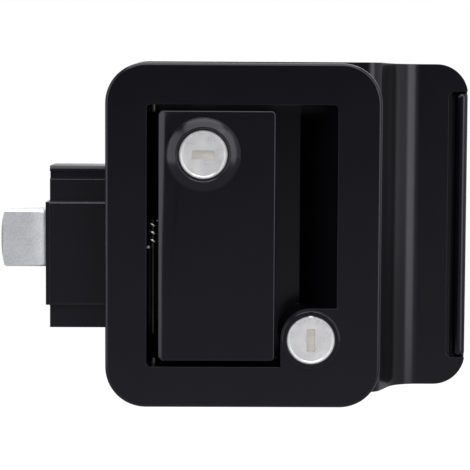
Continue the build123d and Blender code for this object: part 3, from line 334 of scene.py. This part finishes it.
def lift_bevel(paddle, foot, lift):
    """Flattens the bevel at a paddle's hinge edge by moving the bevel's foot, at a given Y, outwards."""
    for point in paddle.data.vertices:
        point.select = point.co.x < hinge_edge and abs(point.co.y - foot) < near
    bpy.ops.object.mode_set(mode="EDIT")
    bpy.ops.transform.translate(value=(0, lift, 0))
    bpy.ops.object.mode_set(mode="OBJECT")
    select_none("VERT")


def finish_paddle(paddle, body, node):
    """Smooth shading that keeps the faces flat, and the coat."""
    bpy.ops.object.shade_smooth_by_angle(angle=radians(22))
    even = paddle.modifiers.new("even", "WEIGHTED_NORMAL")
    even.weight = 100
    even.keep_sharp = True
    bpy.ops.object.modifier_apply(modifier="even")
    paddle.data.materials.clear()
    paddle.data.materials.append(paddle_coat)
    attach(paddle, body)
    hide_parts(node)


paddle_coat = powder_coat("paddle_coat", 0.20, 0.0005)
paddle_lock_middle = (-0.0139, 0.0, 0.0280)
bevel_foot = -0.0029
bevel_lift = 0.00045
crest_radius = 0.0094
crest_kept = 0.0005
crest_y = -0.0070
foot_radius = 0.0126
foot_kept = 0.00005
foot_y = -0.0053
cone_slope = 0.43
cone_fall = 0.18
pull_paddle = merged_copy("outer_paddle", "pull_paddle_casting")
lift_bevel(pull_paddle, bevel_foot, -bevel_lift)
circles = {}
for point in pull_paddle.data.vertices:
    radius = hypot(point.co.x - paddle_lock_middle[0], point.co.z - paddle_lock_middle[2])
    on_shoulder = crest_radius + crest_kept < radius < foot_radius - foot_kept
    if on_shoulder and crest_y - near < point.co.y < foot_y:
        circles.setdefault(round(radius, 5), []).append(point.index)
for radius, members in sorted(circles.items()):
    points = pull_paddle.data.vertices
    for index in members:
        points[index].select = True
    run = radius - crest_radius
    fall = 1 + cone_fall * (run / (foot_radius - crest_radius)) ** 4
    drop = crest_y + cone_slope * run * fall - points[members[0]].co.y
    bpy.ops.object.mode_set(mode="EDIT")
    bpy.ops.transform.translate(value=(0, drop, 0))
    bpy.ops.object.mode_set(mode="OBJECT")
    select_none("VERT")
finish_paddle(pull_paddle, "pull_paddle", "outer_paddle")
# The hinge pins' plating is darkened nearly to black: painted shade for the narrow gap beside the paddle
# where they sit.
shaded_pin_plate = plated("shaded_pin_plate", (0.08, 0.078, 0.07), 0.38, "Z")
dress(shaded_pin_plate, "outer_hinge_pin")
dress(spring_wire, "outer_paddle_spring")


# Key cylinders. Each plug has a nickel-plated head, turned flat with a thin raised rim, and a beige
# shutter that closes the keyhole behind its face. Shell, clip, cam and tailpiece are plated steel.
def turned_face(name, centre):
    """Nickel over a lathe-turned face: rings about the cylinder's own axis."""
    ring_pitch = 0.00032
    material, shade, shader = new_material(name, Metallic=0.76)
    arm = shade.vector("SUBTRACT", shade.place(), centre)
    reach = shade.vector("LENGTH", shade.vector("MULTIPLY", arm, (1, 0, 1)), output="Value")
    rings = (reach * (2 * pi / ring_pitch)).wave()
    cloud = shade.noise(260, 4, (1, 1, 1), 0.6).between(0.3, 0.7)
    colour = cloud.tint((0.90, 0.90, 0.92, 1), (0.97, 0.97, 0.98, 1))
    gloss = cloud * 0.08 + rings * 0.02 + 0.28
    surface(material, shader, colour, gloss, rings, 0.15, 0.00001)
    return material


deadbolt_lock_middle = (0.0235, 0.0, -0.0359)
dress(turned_face("paddle_key_face", paddle_lock_middle), "paddle_lock_plug")
dress(turned_face("deadbolt_key_face", deadbolt_lock_middle), "deadbolt_lock_plug")
shutter_plate = plated("shutter_plate", (0.72, 0.68, 0.64), 0.45, "X", metal=0.8)
dress(shutter_plate, "paddle_key_shutter", "deadbolt_key_shutter")
dress(zinc_steel, "paddle_lock_sleeve", "deadbolt_lock_sleeve")
dress(zinc_steel, "paddle_lock_cam", "deadbolt_tailpiece")
dress(spring_wire, "paddle_lock_clip", "deadbolt_lock_clip")
dress(screw_plate, "paddle_cam_screw")


# Room-side plate. The same casting and coat. Its raised rim lies on the door's inner skin, and its
# pull wing stands off the door to the right, with a finger groove.
dress(plate_coat, "inner_plate")


# Release paddle of the room side. The same paddle turned to the room, without a key cylinder, on its
# own pin and spring.
room_bevel_foot = 0.0614
release_paddle = merged_copy("inner_paddle", "release_paddle_casting")
lift_bevel(release_paddle, room_bevel_foot, bevel_lift)
finish_paddle(release_paddle, "release_paddle", "inner_paddle")
dress(shaded_pin_plate, "inner_hinge_pin")
dress(spring_wire, "inner_paddle_spring")


# Thumb turn of the deadbolt. A coated zinc knob on a plated steel spindle that ends in the crank.
dress(plate_coat, "thumb_turn")
dress(zinc_steel, "thumb_turn_spindle")


# Screws that hold the two plates and the case together, put in from the room side. The four of the
# plates have rounded heads with a cross recess; they are plain plated steel.
dress(screw_plate, "case_screws")
screw_places = ((-0.026, 0.038), (0.003, 0.038), (-0.026, -0.040), (0.003, -0.040))
seat = 0.0395
head_radius = 0.0038
head_height = 0.0024
head_round = 0.0011
shank_inset = 0.0018
shank_length = 0.0145
tip_length = 0.0005
recess_size = (0.0042, 0.0016, 0.0009)
recess_height = 0.0019
bpy.ops.object.select_all(action="DESELECT")
bpy.ops.mesh.primitive_cylinder_add(
    vertices=48,
    radius=head_radius,
    depth=head_height,
    location=(0, seat + head_height / 2, 0),
    rotation=(pi / 2, 0, 0),
)
plate_screw = bpy.context.object
plate_screw.name = "plate_screw_1"
bpy.ops.object.transform_apply(location=True, rotation=True, scale=True)
select_none("FACE")
for face in plate_screw.data.polygons:
    face.select = face.normal.y > 0.9
bpy.ops.object.mode_set(mode="EDIT")
bpy.ops.mesh.region_to_loop()
bpy.ops.mesh.bevel(offset=head_round, offset_type="OFFSET", segments=5, affect="EDGES")
bpy.ops.object.mode_set(mode="OBJECT")
select_none("FACE")
for face in plate_screw.data.polygons:
    face.select = face.normal.y < -0.9
bpy.ops.object.mode_set(mode="EDIT")
bpy.ops.mesh.inset(thickness=shank_inset)
bpy.ops.mesh.extrude_region_move(TRANSFORM_OT_translate={"value": (0, -shank_length, 0)})
bpy.ops.mesh.extrude_region_move(TRANSFORM_OT_translate={"value": (0, -tip_length, 0)})
tip_middle = (0, seat - shank_length - tip_length, 0)
bpy.ops.transform.resize(value=(0.7, 1, 0.7), center_override=tip_middle)
bpy.ops.object.mode_set(mode="OBJECT")
for turn in (pi / 4, 3 * pi / 4):
    recess_middle = (0, seat + recess_height, 0)
    bpy.ops.mesh.primitive_cube_add(size=1, location=recess_middle, rotation=(0, turn, 0))
    blade = bpy.context.object
    blade.scale = recess_size
    bpy.ops.object.transform_apply(location=True, rotation=True, scale=True)
    boolean(plate_screw, "DIFFERENCE", blade)
bpy.ops.object.shade_smooth_by_angle(angle=radians(30))
plate_screw.data.materials.append(screw_plate)
screws = [plate_screw]
for number in (2, 3, 4):
    twin = plate_screw.copy()
    twin.data = plate_screw.data.copy()
    twin.name = f"plate_screw_{number}"
    bpy.context.collection.objects.link(twin)
    screws.append(twin)
for screw, (x, z) in zip(screws, screw_places):
    screw.data.transform(Matrix.Translation((x, 0, z)))
    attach(screw, "housing")
    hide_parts("mounting_screws")


# Studio. White floor and backdrop that the camera sees as plain white and the lock as a dim grey,
# with soft boxes above, in front and at both sides, and one behind for the room side.
bpy.ops.mesh.primitive_plane_add(size=6, location=(0, 1.0, -0.25))
floor = bpy.context.object
floor.name = "studio_floor"
paper, paper_shade, paper_shader = new_material(
    "studio_paper", Roughness=0.9, Base_Color=(0.12, 0.12, 0.12, 1), Emission_Color=(1, 1, 1, 1)
)
path = paper_shade.node("ShaderNodeLightPath").socket.node.outputs
seen = Shade(paper.node_tree, path["Is Camera Ray"])
mirrored = Shade(paper.node_tree, path["Is Glossy Ray"])
white = seen * 0.9 + mirrored * 0.35
paper.node_tree.links.new(white.socket, paper_shader.inputs["Emission Strength"])
floor.data.materials.append(paper)

world = bpy.data.worlds.new("studio")
bpy.context.scene.world = world
world.use_nodes = True
room = Shade(world.node_tree)
seen = Shade(world.node_tree, room.node("ShaderNodeLightPath").socket.node.outputs["Is Camera Ray"])
heading = room.node("ShaderNodeTexCoord", output="Generated")
across, depth, height = (
    room.node("ShaderNodeSeparateXYZ", None, {0: heading}, output=axis) for axis in "XYZ"
)
behind = depth.between(-0.05, 0.35)
low = (0 - height).between(-0.05, 0.15)
right = across.between(0.25, 0.8)
front = 1 - behind
glow = behind * 0.62 + low * front * 0.44 + right * front * 0.8 + 0.07
level = seen + (1 - seen) * glow
background = world.node_tree.nodes["Background"]
world.node_tree.links.new(level.socket, background.inputs["Strength"])
background.inputs["Color"].default_value = (1, 1, 1, 1)


def soft_box(name, place, width, height, radiance):
    """Rectangular soft box that faces the lock, lit to a given brightness whatever its size."""
    light = bpy.data.lights.new(name, "AREA")
    light.shape = "RECTANGLE"
    light.size, light.size_y = width, height
    light.energy = radiance * pi * width * height
    lamp = bpy.data.objects.new(name, light)
    bpy.context.collection.objects.link(lamp)
    lamp.location = place
    lamp.rotation_euler = (-Vector(place)).to_track_quat("-Z", "Y").to_euler()


soft_box("right_box", (0.75, -0.95, 0.15), 0.6, 1.4, 2.6)
soft_box("left_box", (-1.0, -0.65, 0.15), 0.8, 1.2, 2.3)
soft_box("front_box", (0.0, -0.75, 0.8), 1.2, 0.55, 2.8)
soft_box("top_box", (0.0, -0.05, 1.1), 1.2, 1.3, 2.8)
soft_box("room_box", (0.3, 1.3, 0.7), 1.0, 1.0, 1.5)

lens = bpy.data.cameras.new("camera")
lens.sensor_width = 36
lens.lens = 133.92
lens.clip_start = 0.01
camera = bpy.data.objects.new("camera", lens)
bpy.context.collection.objects.link(camera)
camera_down, camera_left, camera_roll = radians(4.13), radians(-0.68), radians(0.29)
aim = Euler((pi / 2 - camera_down, 0, camera_left)).to_matrix()
camera.location = (-0.010, -0.605, 0.0438)
camera.rotation_euler = (aim @ Matrix.Rotation(camera_roll, 3, "Z")).to_euler()
bpy.context.scene.camera = camera
bpy.context.scene.view_settings.view_transform = "Standard"
